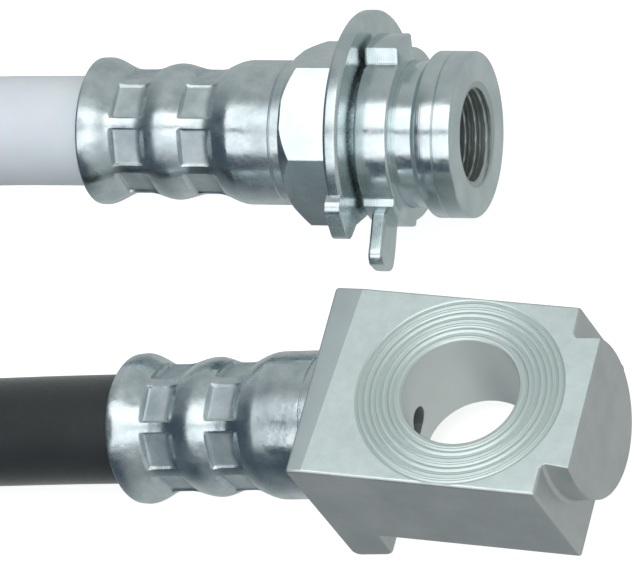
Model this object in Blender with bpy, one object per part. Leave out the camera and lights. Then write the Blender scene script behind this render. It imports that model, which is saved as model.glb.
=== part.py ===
"""Brake hose with a banjo block at one end and a threaded female end at the other.

Both ends lie on the ground side by side and the hose runs round in one open loop
behind them. World axes: +X along the block's hose axis towards its free end, +Z up.
The origin is on the ground, under the middle of the two metal ends.
Each end is modelled in its own frame: x along its hose axis towards the free end,
y away from the viewer, z up. Angles round an axis start at the viewer's side (-y)
and grow upwards (+z).
"""

import math

import bmesh
import bpy
from mathutils import Vector

MM = 0.001

# Fits
TOUCH_GAP = 0.3 * MM
TURN_STEPS = 48
SHARP_ANGLE = math.radians(30.0)

# Banjo block, from the point where the bolt bore crosses the hose axis
BLOCK_THICKNESS = 11.05 * MM
BLOCK_HALF_WIDTH = 10.09 * MM
BLOCK_BACK = 13.21 * MM
BLOCK_FRONT = 10.38 * MM
BLOCK_EDGE = 0.25 * MM
TOP_TILT = math.radians(12.26)
TOP_OFFSET = 5.46 * MM
TOP_BEVEL_WIDTH = 2.2 * MM
TOP_BEVEL_DROP = 0.25 * MM
FOOT_LENGTH = 4.4 * MM
FOOT_DROP = 7.25 * MM
FOOT_CORNER = 0.9 * MM
BOLT_BORE_RADIUS = 5.55 * MM
BLOCK_PORT_RADIUS = 1.5 * MM
BOSS_RADIUS = 7.49 * MM
BOSS_LENGTH = 2.5 * MM
BOSS_FILLET = 0.45 * MM
BOSS_EDGE = 0.2 * MM

# Crimped ferrules, measured from the mouth inwards
BLOCK_FERRULE_LENGTH = 21.99 * MM
FEMALE_FERRULE_LENGTH = 21.1 * MM
FERRULE_MOUTH_RADIUS = 7.17 * MM
FERRULE_RADIUS = 7.0 * MM
FERRULE_LIP = 0.6 * MM
FIRST_CRIMP_AT = 4.9 * MM
FIRST_CRIMP_RADIUS = 5.7 * MM
BULGE_AT = 8.4 * MM
BULGE_RADIUS = 6.55 * MM
SECOND_CRIMP_AT = 11.95 * MM
SECOND_CRIMP_RADIUS = 5.8 * MM
SHOULDER_AT = 16.0 * MM
CRIMP_HALF_BAND = 1.35 * MM
CRIMP_BLEND = 0.8 * MM
JAW_COUNT = 8
JAW_RIDGE_HEIGHT = 0.42 * MM
JAW_RIDGE_HALF_WIDTH = math.radians(6.0)
CRIMP_STATION = 0.7 * MM

# Tube stem inside each ferrule
STEM_RADIUS = 1.85 * MM
STEM_BORE_RADIUS = 1.1 * MM
STEM_SOCKET_DEPTH = 3.0 * MM

# Female end, from its end face inwards
COLLAR_RADIUS = 8.0 * MM
COLLAR_LENGTH = 3.6 * MM
COLLAR_CHAMFER = 0.7 * MM
COLLAR_EDGE = 0.3 * MM
LINE_AT = 1.88 * MM
LINE_DEPTH = 0.15 * MM
NECK_RADIUS = 7.05 * MM
RING_FRONT = 6.1 * MM
RING_BACK = 9.03 * MM
PLATE_FRONT = 9.95 * MM
PLATE_THICKNESS = 1.5 * MM
HEX_ACROSS_FLATS = 15.875 * MM
HEX_LENGTH = 5.6 * MM
HEX_CHAMFER_START = 1.6 * MM
HEX_CHAMFER_RADIUS = 7.95 * MM
HEX_FLAT_ANGLE = math.radians(9.5)
PORT_MOUTH_RADIUS = 5.8 * MM
PORT_MOUTH_DEPTH = 1.0 * MM
PORT_RADIUS = 4.8 * MM
PORT_DEPTH = 10.2 * MM
SEAT_DEPTH = 8.0 * MM
SEAT_ROOT_RADIUS = 3.6 * MM
SEAT_TIP_RADIUS = 1.8 * MM
PASSAGE_RADIUS = 1.2 * MM

# Tab ring on the female end's neck
RING_RADIUS = 8.35 * MM
RING_EDGE = 0.25 * MM
NEAR_LUG_RADIUS = 8.75 * MM
NEAR_LUG_ANGLES = (-37.0, 9.0)
FAR_LUG_RADIUS = 9.75 * MM
FAR_LUG_ANGLES = (110.0, 137.0)
TAB_THICKNESS = 1.57 * MM
TAB_HALF_WIDTH = 2.0 * MM
TAB_LENGTH = 8.2 * MM
TAB_ROOT_RADIUS = 7.1 * MM
TAB_ROOT_ANGLE = math.radians(12.5)
TAB_DIRECTION = math.radians(-33.0)
TAB_CORNER = 1.1 * MM
TAB_LEAN = math.radians(2.5)

# Locating plate between the tab ring and the hexagon
PLATE_RADIUS = 11.9 * MM
PLATE_CHORD_ANGLES = (6.0, -106.2)
PLATE_TAB_ANGLE = 11.5
PLATE_TAB_HALF_WIDTH = 1.85 * MM
PLATE_TAB_RADIUS = 13.1 * MM
PLATE_TAB_CORNER = 0.6 * MM
PLATE_TAB_ROOT = 10.0 * MM

# Hose and the white sleeve over its end. The route's points are chosen by hand, in
# millimetres. It runs from the female end's mouth round the loop to the block's.
HOSE_RADIUS = 5.25 * MM
SLEEVE_RADIUS = 5.38 * MM
SLEEVE_LENGTH = 70.0 * MM
HOSE_POINT_SPACING = 21.0 * MM
HOSE_END_STRAIGHT = 8.0 * MM
ROUTE = (
    (-40.5, 12.8, 16.4), (-52.0, 12.4, 16.4), (-64.0, 12.7, 14.6), (-76.0, 15.4, 11.9),
    (-87.0, 21.0, 9.1), (-97.0, 30.0, 7.0), (-108.0, 40.0, 5.7), (-123.0, 46.8, 5.25),
    (-142.0, 47.7, 5.25), (-161.0, 40.2, 5.25), (-175.0, 26.0, 5.25), (-182.5, 8.0, 5.25),
    (-182.0, -14.0, 5.25), (-172.5, -33.0, 5.25), (-156.0, -46.4, 5.25), (-136.0, -51.2, 5.25),
    (-116.0, -48.2, 5.25), (-98.5, -37.0, 5.25), (-84.0, -25.0, 5.25), (-67.0, -17.8, 5.4),
    (-48.0, -16.15, 6.2), (-32.0, -16.07, 6.92))

# How the ends lie. The block rests on its front lower edge and its ferrule's mouth,
# the female end on the lower corner of its plate.
BLOCK_PLACE = (16.24 * MM, -16.07 * MM)
FEMALE_FROM_BLOCK = (-6.12 * MM, 30.69 * MM)
FEMALE_NOSE_DOWN = math.radians(7.53)
FEMALE_YAW = math.radians(2.06)
BLOCK_JAW_ANGLE = math.radians(4.0)
FEMALE_JAW_ANGLE = math.radians(8.6)


def clear_scene():
    """Remove every object from the scene."""
    for item in list(bpy.data.objects):
        bpy.data.objects.remove(item, do_unlink=True)


def make_material(name, colour, roughness, metallic):
    """Return a Principled material."""
    material = bpy.data.materials.new(name)
    material.use_nodes = True
    shader = material.node_tree.nodes["Principled BSDF"]
    shader.inputs["Base Color"].default_value = (*colour, 1.0)
    shader.inputs["Roughness"].default_value = roughness
    shader.inputs["Metallic"].default_value = metallic
    return material


def add_object(name, mesh, material, parent):
    """Link a mesh as a smooth shaded object under its parent."""
    mesh.shade_smooth()
    mesh.set_sharp_from_angle(angle=SHARP_ANGLE)
    item = bpy.data.objects.new(name, mesh)
    bpy.context.scene.collection.objects.link(item)
    item.parent = parent
    if material is not None:
        mesh.materials.append(material)
    return item


def add_frame(name, location, rotation):
    """Place an empty that carries one end's own frame."""
    frame = bpy.data.objects.new(name, None)
    bpy.context.scene.collection.objects.link(frame)
    frame.location = location
    frame.rotation_euler = rotation
    return frame


def polar(x, radius, angle):
    """Point at an angle round the x axis, from the viewer's side upwards."""
    return Vector((x, -radius * math.cos(angle), radius * math.sin(angle)))


def loft(name, rings, closed):
    """Skin rings of equally many points. An open loft gets flat caps."""
    bm = bmesh.new()
    loops = [[bm.verts.new(point) for point in ring] for ring in rings]
    pairs = list(zip(loops, loops[1:]))
    if closed:
        pairs.append((loops[-1], loops[0]))
    else:
        bm.faces.new(loops[0])
        bm.faces.new(loops[-1])
    for first, second in pairs:
        for index, corner in enumerate(first):
            after = (index + 1) % len(first)
            bm.faces.new((corner, first[after], second[after], second[index]))
    bmesh.ops.recalc_face_normals(bm, faces=bm.faces)
    mesh = bpy.data.meshes.new(name)
    bm.to_mesh(mesh)
    bm.free()
    return mesh


def turned(name, profile, closed, start_angle=0.0, radius_at=None):
    """Turn a profile of (x, radius) points round the x axis.

    A closed profile is a loop clear of the axis, an open one a solid bar.
    radius_at may change a point's radius round the axis.
    """
    rings = []
    for x, radius in profile:
        ring = []
        for step in range(TURN_STEPS):
            angle = start_angle + math.tau * step / TURN_STEPS
            local = radius if radius_at is None else radius_at(x, radius, angle)
            ring.append(polar(x, local, angle))
        rings.append(ring)
    return loft(name, rings, closed)


def sector(name, x_range, radii, angles):
    """A block of a ring between two x places, two radii and two angles in degrees."""
    steps = max(2, round(abs(angles[1] - angles[0]) / (360.0 / TURN_STEPS)))
    rings = []
    for step in range(steps + 1):
        angle = math.radians(angles[0] + (angles[1] - angles[0]) * step / steps)
        corners = ((x_range[0], radii[0]), (x_range[1], radii[0]),
                   (x_range[1], radii[1]), (x_range[0], radii[1]))
        rings.append([polar(x, radius, angle) for x, radius in corners])
    return loft(name, rings, False)


def extruded(name, outline, offset):
    """Extrude a flat outline along an offset."""
    return loft(name, [outline, [point + offset for point in outline]], False)


def arc(centre, radius, start, end, steps):
    """Points of an arc in a plane, from one angle to another in degrees."""
    points = []
    for step in range(steps + 1):
        angle = math.radians(start + (end - start) * step / steps)
        points.append((centre[0] + radius * math.cos(angle), centre[1] + radius * math.sin(angle)))
    return points


def combine(target, tool_mesh, operation, tool_name):
    """Join, cut or trim a target with a hidden tool body in the same frame."""
    tool = add_object(tool_name, tool_mesh, None, target.parent)
    tool.hide_render = True
    tool.display_type = "WIRE"
    modifier = target.modifiers.new(tool_name, "BOOLEAN")
    modifier.operation = operation
    modifier.object = tool
    modifier.solver = "EXACT"
    return tool


def top_height(x):
    """Height of the block's sloping top above the hose axis."""
    return TOP_OFFSET / math.cos(TOP_TILT) - x * math.tan(TOP_TILT)


def under_height(x):
    """Height of the block's underside, parallel to its top."""
    return top_height(x) - BLOCK_THICKNESS / math.cos(TOP_TILT)


def block_outline():
    """Side view of the block: sloping slab with a foot on the hose side."""
    foot_front = -BLOCK_BACK + FOOT_LENGTH
    back_corner = arc((-BLOCK_BACK + FOOT_CORNER, -FOOT_DROP + FOOT_CORNER), FOOT_CORNER, 180.0, 270.0, 4)
    front_corner = arc((foot_front - FOOT_CORNER, -FOOT_DROP + FOOT_CORNER), FOOT_CORNER, 270.0, 360.0, 4)
    bevel_end = -BLOCK_BACK + TOP_BEVEL_WIDTH
    outline = [(-BLOCK_BACK, top_height(-BLOCK_BACK) - TOP_BEVEL_DROP)]
    outline += back_corner + front_corner
    outline.append((foot_front, under_height(foot_front)))
    outline.append((BLOCK_FRONT, under_height(BLOCK_FRONT)))
    outline.append((BLOCK_FRONT, top_height(BLOCK_FRONT)))
    outline.append((bevel_end, top_height(bevel_end)))
    return outline


def make_block(frame, material):
    """Banjo block with its bolt bore, turned boss, stem socket and fluid port."""
    outline = [Vector((x, -BLOCK_HALF_WIDTH, z)) for x, z in block_outline()]
    width = Vector((0.0, 2.0 * BLOCK_HALF_WIDTH, 0.0))
    block = add_object("banjo_block", extruded("banjo_block", outline, width), material, frame)
    bevel = block.modifiers.new("edges", "BEVEL")
    bevel.width = BLOCK_EDGE
    bevel.segments = 2
    bevel.limit_method = "ANGLE"
    bevel.angle_limit = math.radians(40.0)

    boss_end = BLOCK_FRONT + BOSS_LENGTH
    fillet = arc((BLOCK_FRONT + BOSS_FILLET, BOSS_RADIUS + BOSS_FILLET), BOSS_FILLET, 180.0, 270.0, 4)
    profile = [(BLOCK_FRONT - BOSS_LENGTH, BOSS_RADIUS - BOSS_FILLET)] + fillet
    profile += [(boss_end - BOSS_EDGE, BOSS_RADIUS), (boss_end, BOSS_RADIUS - BOSS_EDGE)]
    boss = combine(block, turned("boss", profile, False), "UNION", "boss")
    reach = 4.0 * BOSS_RADIUS
    wedge = [Vector((x, -reach, z)) for x, z in (
        (-reach, top_height(-reach)), (reach, top_height(reach)), (reach, reach), (-reach, reach))]
    combine(boss, extruded("boss_top_cutter", wedge, Vector((0.0, 2.0 * reach, 0.0))),
            "DIFFERENCE", "boss_top_cutter")

    lean = Vector((math.sin(TOP_TILT), 0.0, math.cos(TOP_TILT)))
    across = Vector((math.cos(TOP_TILT), 0.0, -math.sin(TOP_TILT)))
    rings = []
    for end in (-BLOCK_THICKNESS, BLOCK_THICKNESS):
        ring = []
        for step in range(TURN_STEPS):
            angle = math.tau * step / TURN_STEPS
            spoke = across * math.cos(angle) + Vector((0.0, math.sin(angle), 0.0))
            ring.append(lean * end + spoke * BOLT_BORE_RADIUS)
        rings.append(ring)
    combine(block, loft("bolt_bore_cutter", rings, False), "DIFFERENCE", "bolt_bore_cutter")

    socket = -BLOCK_BACK + STEM_SOCKET_DEPTH
    passage = [(-BLOCK_BACK - BOSS_LENGTH, STEM_RADIUS + TOUCH_GAP), (socket, STEM_RADIUS + TOUCH_GAP),
               (socket, BLOCK_PORT_RADIUS), (0.0, BLOCK_PORT_RADIUS)]
    combine(block, turned("fluid_port_cutter", passage, False), "DIFFERENCE", "fluid_port_cutter")
    return block


def ease(share):
    """Cosine ease from 0 to 1."""
    return 0.5 - 0.5 * math.cos(math.pi * min(max(share, 0.0), 1.0))


def crimp_radius(place):
    """Smooth outer radius of the ferrule at a distance from its mouth."""
    marks = ((FERRULE_LIP, FERRULE_MOUTH_RADIUS), (FIRST_CRIMP_AT, FIRST_CRIMP_RADIUS),
             (BULGE_AT, BULGE_RADIUS), (SECOND_CRIMP_AT, SECOND_CRIMP_RADIUS),
             (SHOULDER_AT, FERRULE_RADIUS))
    if place <= marks[0][0]:
        return marks[0][1]
    for (start, low), (end, high) in zip(marks, marks[1:]):
        if place <= end:
            return low + (high - low) * ease((place - start) / (end - start))
    return FERRULE_RADIUS


def band_weight(place):
    """How fully the crimping jaws have pressed the shell at a distance from its mouth."""
    weight = 0.0
    for middle in (FIRST_CRIMP_AT, SECOND_CRIMP_AT):
        outside = abs(place - middle) - CRIMP_HALF_BAND
        weight = max(weight, 1.0 - ease(outside / CRIMP_BLEND))
    return weight


def jaw_radius(place, radius, turn):
    """Flat under each jaw, with a raised ridge where two jaws meet."""
    pitch = math.tau / JAW_COUNT
    from_ridge = abs((turn + 0.5 * pitch) % pitch - 0.5 * pitch)
    from_flat = 0.5 * pitch - from_ridge
    ridge = 1.0 - ease(from_ridge / JAW_RIDGE_HALF_WIDTH)
    flat = radius / math.cos(from_flat) - radius
    pressed = flat + (JAW_RIDGE_HEIGHT - flat) * ridge
    return radius + band_weight(place) * pressed


def make_ferrule(name, frame, material, base, length, jaw_angle):
    """Crimped shell whose inner end stands at x = base. Its mouth faces -x."""
    mouth = base - length
    bore = STEM_RADIUS + TOUCH_GAP
    steps = math.ceil(SHOULDER_AT / CRIMP_STATION)
    places = [SHOULDER_AT * step / steps for step in range(steps + 1)]
    places.append(length)
    profile = [(mouth + place, crimp_radius(place)) for place in places]
    profile += [(base, bore), (mouth, bore)]

    def shaped(x, radius, angle):
        if radius <= bore:
            return radius
        return jaw_radius(x - mouth, radius, angle - jaw_angle)

    mesh = turned(name, profile, True, jaw_angle, shaped)
    return add_object(name, mesh, material, frame)


def make_stem(name, frame, material, base, length):
    """Thin tube stem from the socket past x = base back to the ferrule's mouth."""
    start = base - length
    end = base + STEM_SOCKET_DEPTH
    profile = [(start, STEM_RADIUS), (end, STEM_RADIUS), (end, STEM_BORE_RADIUS), (start, STEM_BORE_RADIUS)]
    return add_object(name, turned(name, profile, True), material, frame)


def hex_radius(angle):
    """Distance from the axis to the hexagon's side at an angle."""
    pitch = math.tau / 6.0
    from_flat = (angle - HEX_FLAT_ANGLE + 0.5 * pitch) % pitch - 0.5 * pitch
    return 0.5 * HEX_ACROSS_FLATS / math.cos(from_flat)


def make_female_body(frame, material):
    """Female end: collar, clip groove, neck, hexagon, threaded port and flare seat."""
    hex_front = -(PLATE_FRONT + PLATE_THICKNESS + TOUCH_GAP)
    hex_back = hex_front - HEX_LENGTH
    corner = 0.5 * HEX_ACROSS_FLATS / math.cos(math.radians(30.0))
    chamfer_start = hex_back + HEX_CHAMFER_START
    socket = hex_back + STEM_SOCKET_DEPTH
    profile = [
        (-COLLAR_LENGTH - COLLAR_CHAMFER, NECK_RADIUS), (-COLLAR_LENGTH, COLLAR_RADIUS),
        (-LINE_AT - LINE_DEPTH, COLLAR_RADIUS), (-LINE_AT, COLLAR_RADIUS - LINE_DEPTH),
        (-LINE_AT + LINE_DEPTH, COLLAR_RADIUS), (-COLLAR_EDGE, COLLAR_RADIUS),
        (0.0, COLLAR_RADIUS - COLLAR_EDGE), (0.0, PORT_MOUTH_RADIUS), (-PORT_MOUTH_DEPTH, PORT_RADIUS),
        (-PORT_DEPTH, PORT_RADIUS), (-PORT_DEPTH, SEAT_ROOT_RADIUS), (-SEAT_DEPTH, SEAT_TIP_RADIUS),
        (-SEAT_DEPTH, PASSAGE_RADIUS), (socket, PASSAGE_RADIUS), (socket, STEM_RADIUS + TOUCH_GAP),
        (hex_back, STEM_RADIUS + TOUCH_GAP), (hex_back, HEX_CHAMFER_RADIUS)]
    steps = 4
    for step in range(1, steps + 1):
        share = step / steps
        limit = HEX_CHAMFER_RADIUS + (corner - HEX_CHAMFER_RADIUS) * share
        profile.append((hex_back + (chamfer_start - hex_back) * share, limit))
    profile += [(hex_front, corner), (hex_front, NECK_RADIUS)]

    def shaped(x, radius, angle):
        if x > hex_front or radius <= NECK_RADIUS:
            return radius
        return min(radius, hex_radius(angle))

    mesh = turned("female_end_body", profile, True, HEX_FLAT_ANGLE, shaped)
    return add_object("female_end_body", mesh, material, frame)


def tab_outline(length, half_width, corner):
    """Flat outline of a tab along its length, with two rounded tip corners."""
    tip = length - corner
    edge = half_width - corner
    outline = [(0.0, -half_width)] + arc((tip, -edge), corner, -90.0, 0.0, 4)
    outline += arc((tip, edge), corner, 0.0, 90.0, 4) + [(0.0, half_width)]
    return outline


def make_tab_ring(frame, material):
    """Ring on the neck with two short lugs and one long tab."""
    hole = NECK_RADIUS + TOUCH_GAP
    profile = [(-RING_BACK, hole), (-RING_BACK, RING_RADIUS - RING_EDGE), (-RING_BACK + RING_EDGE, RING_RADIUS),
               (-RING_FRONT - RING_EDGE, RING_RADIUS), (-RING_FRONT, RING_RADIUS - RING_EDGE), (-RING_FRONT, hole)]
    ring = add_object("tab_ring", turned("tab_ring", profile, True), material, frame)
    middle = 0.5 * (hole + RING_RADIUS)
    for name, radius, angles in (("near_lug", NEAR_LUG_RADIUS, NEAR_LUG_ANGLES),
                                 ("far_lug", FAR_LUG_RADIUS, FAR_LUG_ANGLES)):
        lug = sector(name, (-RING_BACK, -RING_FRONT), (middle, radius), angles)
        combine(ring, lug, "UNION", name)

    root = polar(-RING_FRONT - RING_EDGE, TAB_ROOT_RADIUS, TAB_ROOT_ANGLE)
    out = polar(-math.tan(TAB_LEAN), 1.0, TAB_DIRECTION)
    side = polar(0.0, 1.0, TAB_DIRECTION + 0.5 * math.pi)
    outline = [root + out * along + side * across
               for along, across in tab_outline(TAB_LENGTH, TAB_HALF_WIDTH, TAB_CORNER)]
    tab = extruded("long_tab", outline, Vector((-TAB_THICKNESS, 0.0, 0.0)))
    combine(ring, tab, "UNION", "long_tab")
    hole_profile = [(-RING_BACK - TAB_THICKNESS, hole), (-RING_FRONT + TAB_THICKNESS, hole)]
    combine(ring, turned("ring_hole_cutter", hole_profile, False), "DIFFERENCE", "ring_hole_cutter")
    return ring


def make_locating_plate(frame, material):
    """Round sheet plate cut off along a chord, with one small tab."""
    hole = NECK_RADIUS + TOUCH_GAP
    back = -(PLATE_FRONT + PLATE_THICKNESS)
    profile = [(back, hole), (back, PLATE_RADIUS), (-PLATE_FRONT, PLATE_RADIUS), (-PLATE_FRONT, hole)]
    plate = add_object("locating_plate", turned("locating_plate", profile, True), material, frame)
    first, last = (math.radians(angle) for angle in PLATE_CHORD_ANGLES)
    middle = 0.5 * (first + last)
    start, end = polar(back, PLATE_RADIUS, first), polar(back, PLATE_RADIUS, last)
    along = (end - start).normalized() * TOUCH_GAP
    outward = polar(0.0, PLATE_RADIUS, middle)
    outline = [start - along, end + along, end + along + outward, start - along + outward]
    shift = Vector((-PLATE_THICKNESS, 0.0, 0.0))
    cutter = extruded("chord_cutter", [point + shift for point in outline], -3.0 * shift)
    combine(plate, cutter, "DIFFERENCE", "chord_cutter")

    direction = math.radians(PLATE_TAB_ANGLE)
    root = polar(back, PLATE_TAB_ROOT, direction)
    out = polar(0.0, 1.0, direction)
    side = polar(0.0, 1.0, direction + 0.5 * math.pi)
    length = PLATE_TAB_RADIUS - PLATE_TAB_ROOT
    outline = [root + out * along + side * across
               for along, across in tab_outline(length, PLATE_TAB_HALF_WIDTH, PLATE_TAB_CORNER)]
    tab = extruded("plate_tab", outline, Vector((PLATE_THICKNESS, 0.0, 0.0)))
    combine(plate, tab, "UNION", "plate_tab")
    return plate


def lowest_plate_corner():
    """Drop of the plate's lowest corner below the female end's axis."""
    return -PLATE_RADIUS * math.sin(math.radians(PLATE_CHORD_ANGLES[1]))


def add_frames():
    """Frames of the two ends, each stood on the ground by its own contact points."""
    front_drop = -under_height(BLOCK_FRONT)
    mouth = BLOCK_BACK + TOUCH_GAP + BLOCK_FERRULE_LENGTH
    nose_up = math.atan2(front_drop - FERRULE_MOUTH_RADIUS, BLOCK_FRONT + mouth)
    block_height = front_drop * math.cos(nose_up) - BLOCK_FRONT * math.sin(nose_up)
    block = add_frame("block_frame", (*BLOCK_PLACE, block_height), (0.0, -nose_up, 0.0))
    female_height = lowest_plate_corner() * math.cos(FEMALE_NOSE_DOWN) - PLATE_FRONT * math.sin(FEMALE_NOSE_DOWN)
    female_place = [at + offset for at, offset in zip(BLOCK_PLACE, FEMALE_FROM_BLOCK)]
    female = add_frame("female_frame", (*female_place, female_height), (0.0, FEMALE_NOSE_DOWN, FEMALE_YAW))
    return block, female


def smooth_curve(points):
    """Closely spaced points of a Catmull-Rom curve through the given points."""
    padded = [points[0] * 2.0 - points[1], *points, points[-1] * 2.0 - points[-2]]
    steps = 16
    curve = []
    for before, start, end, after in zip(padded, padded[1:], padded[2:], padded[3:]):
        for step in range(steps):
            t = step / steps
            curve.append(0.5 * (2.0 * start + (end - before) * t
                                + (2.0 * before - 5.0 * start + 4.0 * end - after) * t ** 2
                                + (3.0 * (start - end) + after - before) * t ** 3))
    curve.append(points[-1])
    return curve


def travelled(curve):
    """Distance along the curve at each of its points."""
    lengths = [0.0]
    for start, end in zip(curve, curve[1:]):
        lengths.append(lengths[-1] + (end - start).length)
    return lengths


def stretch(curve, start, end):
    """Points of the tube along one stretch of the curve, with a short run at each end."""
    lengths = travelled(curve)
    inner_start = start + HOSE_END_STRAIGHT
    inner_end = end - HOSE_END_STRAIGHT
    count = max(1, round((inner_end - inner_start) / HOSE_POINT_SPACING))
    places = [start] + [inner_start + (inner_end - inner_start) * step / count for step in range(count + 1)]
    places.append(end)
    points = []
    for place in places:
        index = max(i for i, length in enumerate(lengths[:-1]) if length <= place + TOUCH_GAP * 0.001)
        share = (place - lengths[index]) / (lengths[index + 1] - lengths[index])
        points.append(curve[index].lerp(curve[index + 1], share))
    return points


def make_tube(name, points, radius, material):
    """A round solid tube with flat ends along the points."""
    curve = bpy.data.curves.new(name, "CURVE")
    curve.dimensions = "3D"
    curve.bevel_depth = radius
    curve.bevel_resolution = 3
    curve.use_fill_caps = True
    spline = curve.splines.new("POLY")
    spline.points.add(len(points) - 1)
    for corner, point in zip(spline.points, points):
        corner.co = (*point, 1.0)
    curve.materials.append(material)
    item = bpy.data.objects.new(name, curve)
    bpy.context.scene.collection.objects.link(item)
    return item


def make_hose(block_mouth, female_mouth, rubber, sleeve):
    """White sleeve from the female end's mouth, then the black hose to the block's."""
    route = [female_mouth] + [Vector(point) * MM for point in ROUTE] + [block_mouth]
    curve = smooth_curve(route)
    full = travelled(curve)[-1]
    make_tube("hose_sleeve", stretch(curve, TOUCH_GAP, SLEEVE_LENGTH), SLEEVE_RADIUS, sleeve)
    make_tube("brake_hose", stretch(curve, SLEEVE_LENGTH + TOUCH_GAP, full - TOUCH_GAP), HOSE_RADIUS, rubber)


def main():
    """Build the whole assembly."""
    clear_scene()
    zinc = make_material("zinc_plated_steel", (0.66, 0.69, 0.70), 0.22, 1.0)
    matte_zinc = make_material("tumbled_zinc", (0.58, 0.62, 0.61), 0.45, 0.9)
    steel = make_material("stem_steel", (0.50, 0.51, 0.52), 0.35, 1.0)
    rubber = make_material("hose_rubber", (0.018, 0.019, 0.020), 0.45, 0.0)
    sleeve = make_material("sleeve_plastic", (0.72, 0.73, 0.79), 0.35, 0.0)

    block_frame, female_frame = add_frames()
    make_block(block_frame, matte_zinc)
    block_base = -BLOCK_BACK - TOUCH_GAP
    make_ferrule("block_end_ferrule", block_frame, zinc, block_base, BLOCK_FERRULE_LENGTH, BLOCK_JAW_ANGLE)
    make_stem("block_end_stem", block_frame, steel, block_base, BLOCK_FERRULE_LENGTH)

    make_female_body(female_frame, zinc)
    make_tab_ring(female_frame, zinc)
    make_locating_plate(female_frame, zinc)
    female_base = -(PLATE_FRONT + PLATE_THICKNESS + HEX_LENGTH + 2.0 * TOUCH_GAP)
    make_ferrule("female_end_ferrule", female_frame, zinc, female_base, FEMALE_FERRULE_LENGTH, FEMALE_JAW_ANGLE)
    make_stem("female_end_stem", female_frame, steel, female_base, FEMALE_FERRULE_LENGTH)

    bpy.context.view_layer.update()
    block_mouth = block_frame.matrix_world @ Vector((block_base - BLOCK_FERRULE_LENGTH, 0.0, 0.0))
    female_mouth = female_frame.matrix_world @ Vector((female_base - FEMALE_FERRULE_LENGTH, 0.0, 0.0))
    make_hose(block_mouth, female_mouth, rubber, sleeve)


main()
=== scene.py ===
import logging
import math
from dataclasses import dataclass
from enum import Enum
from typing import Callable, Optional, Sequence, Union

import bmesh
import bpy
from mathutils import Euler, Matrix, Vector


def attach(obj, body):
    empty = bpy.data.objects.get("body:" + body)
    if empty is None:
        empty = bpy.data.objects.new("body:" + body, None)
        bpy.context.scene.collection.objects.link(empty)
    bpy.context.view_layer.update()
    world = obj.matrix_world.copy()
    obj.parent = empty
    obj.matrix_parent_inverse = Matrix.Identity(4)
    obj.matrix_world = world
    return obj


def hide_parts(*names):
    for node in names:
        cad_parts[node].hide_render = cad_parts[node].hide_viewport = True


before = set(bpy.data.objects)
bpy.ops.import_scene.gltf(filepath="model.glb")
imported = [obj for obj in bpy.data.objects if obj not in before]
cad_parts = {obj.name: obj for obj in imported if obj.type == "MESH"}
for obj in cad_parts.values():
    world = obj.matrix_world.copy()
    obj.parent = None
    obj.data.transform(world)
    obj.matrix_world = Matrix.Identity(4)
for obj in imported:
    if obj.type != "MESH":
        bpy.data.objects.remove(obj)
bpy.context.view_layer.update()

LOG = logging.getLogger("brake_hose")
MM = 0.001
SHARP_ANGLE = math.radians(32.0)
ROUND_STEPS = 8
LIP_STEPS = 6
EDGE_STEPS = 5
EDGE_SEGMENTS = 3
CURVE_STEPS = 24
FINE_STEPS = 192
WAVE_FACTOR = 20.0  # a wave texture repeats every tau / (20 * scale)
MIX_SHARE, MIX_BASE, MIX_OTHER, MIX_RESULT = 0, 6, 7, 2  # a colour mix node's sockets

Mesh = bpy.types.Mesh
Material = bpy.types.Material
Socket = bpy.types.NodeSocket
Point2 = tuple[float, float]
Triple = tuple[float, float, float]
RadiusAt = Callable[[float, float, float], float]


class Join(Enum):
    """How one body is combined with another."""

    ADD = "UNION"
    CUT = "DIFFERENCE"
    TRIM = "INTERSECT"


@dataclass(frozen=True)
class EndFrame:
    """Where one metal end lies on the ground, its x axis along the hose axis."""

    place: Triple
    nose_down: float
    yaw: float

    def matrix(self) -> Matrix:
        """Return the end's own frame as a matrix in the row frame."""
        turn = Euler((0.0, self.nose_down, self.yaw)).to_matrix().to_4x4()
        return Matrix.Translation(Vector(self.place)) @ turn


BLOCK_FRAME = EndFrame((16.24 * MM, -16.07 * MM, 7.7925 * MM), math.radians(-1.0065), 0.0)
FEMALE_FRAME = EndFrame((10.12 * MM, 14.62 * MM, 10.025 * MM), math.radians(7.53), math.radians(2.06))


def polar(x: float, radius: float, angle: float) -> Vector:
    """Return a point round the x axis, its angle counted from the viewer's side upwards.

    Args:
        x: Place along the axis.
        radius: Distance from the axis.
        angle: Angle in radians, 0 at -y and growing towards +z.

    Returns:
        The point.
    """
    return Vector((x, -radius * math.cos(angle), radius * math.sin(angle)))


def arc(centre: Point2, radius: float, start: float, end: float, steps: int) -> list[Point2]:
    """Return points of an arc in a plane.

    Args:
        centre: Centre of the arc.
        radius: Its radius.
        start: First angle in degrees.
        end: Last angle in degrees.
        steps: Number of steps between them.

    Returns:
        The points, both ends included.
    """
    points = []
    for step in range(steps + 1):
        angle = math.radians(start + (end - start) * step / steps)
        points.append((centre[0] + radius * math.cos(angle), centre[1] + radius * math.sin(angle)))
    return points


def ease(share: float) -> float:
    """Return a cosine ease from 0 to 1, held at both ends."""
    return 0.5 - 0.5 * math.cos(math.pi * min(max(share, 0.0), 1.0))


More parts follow.
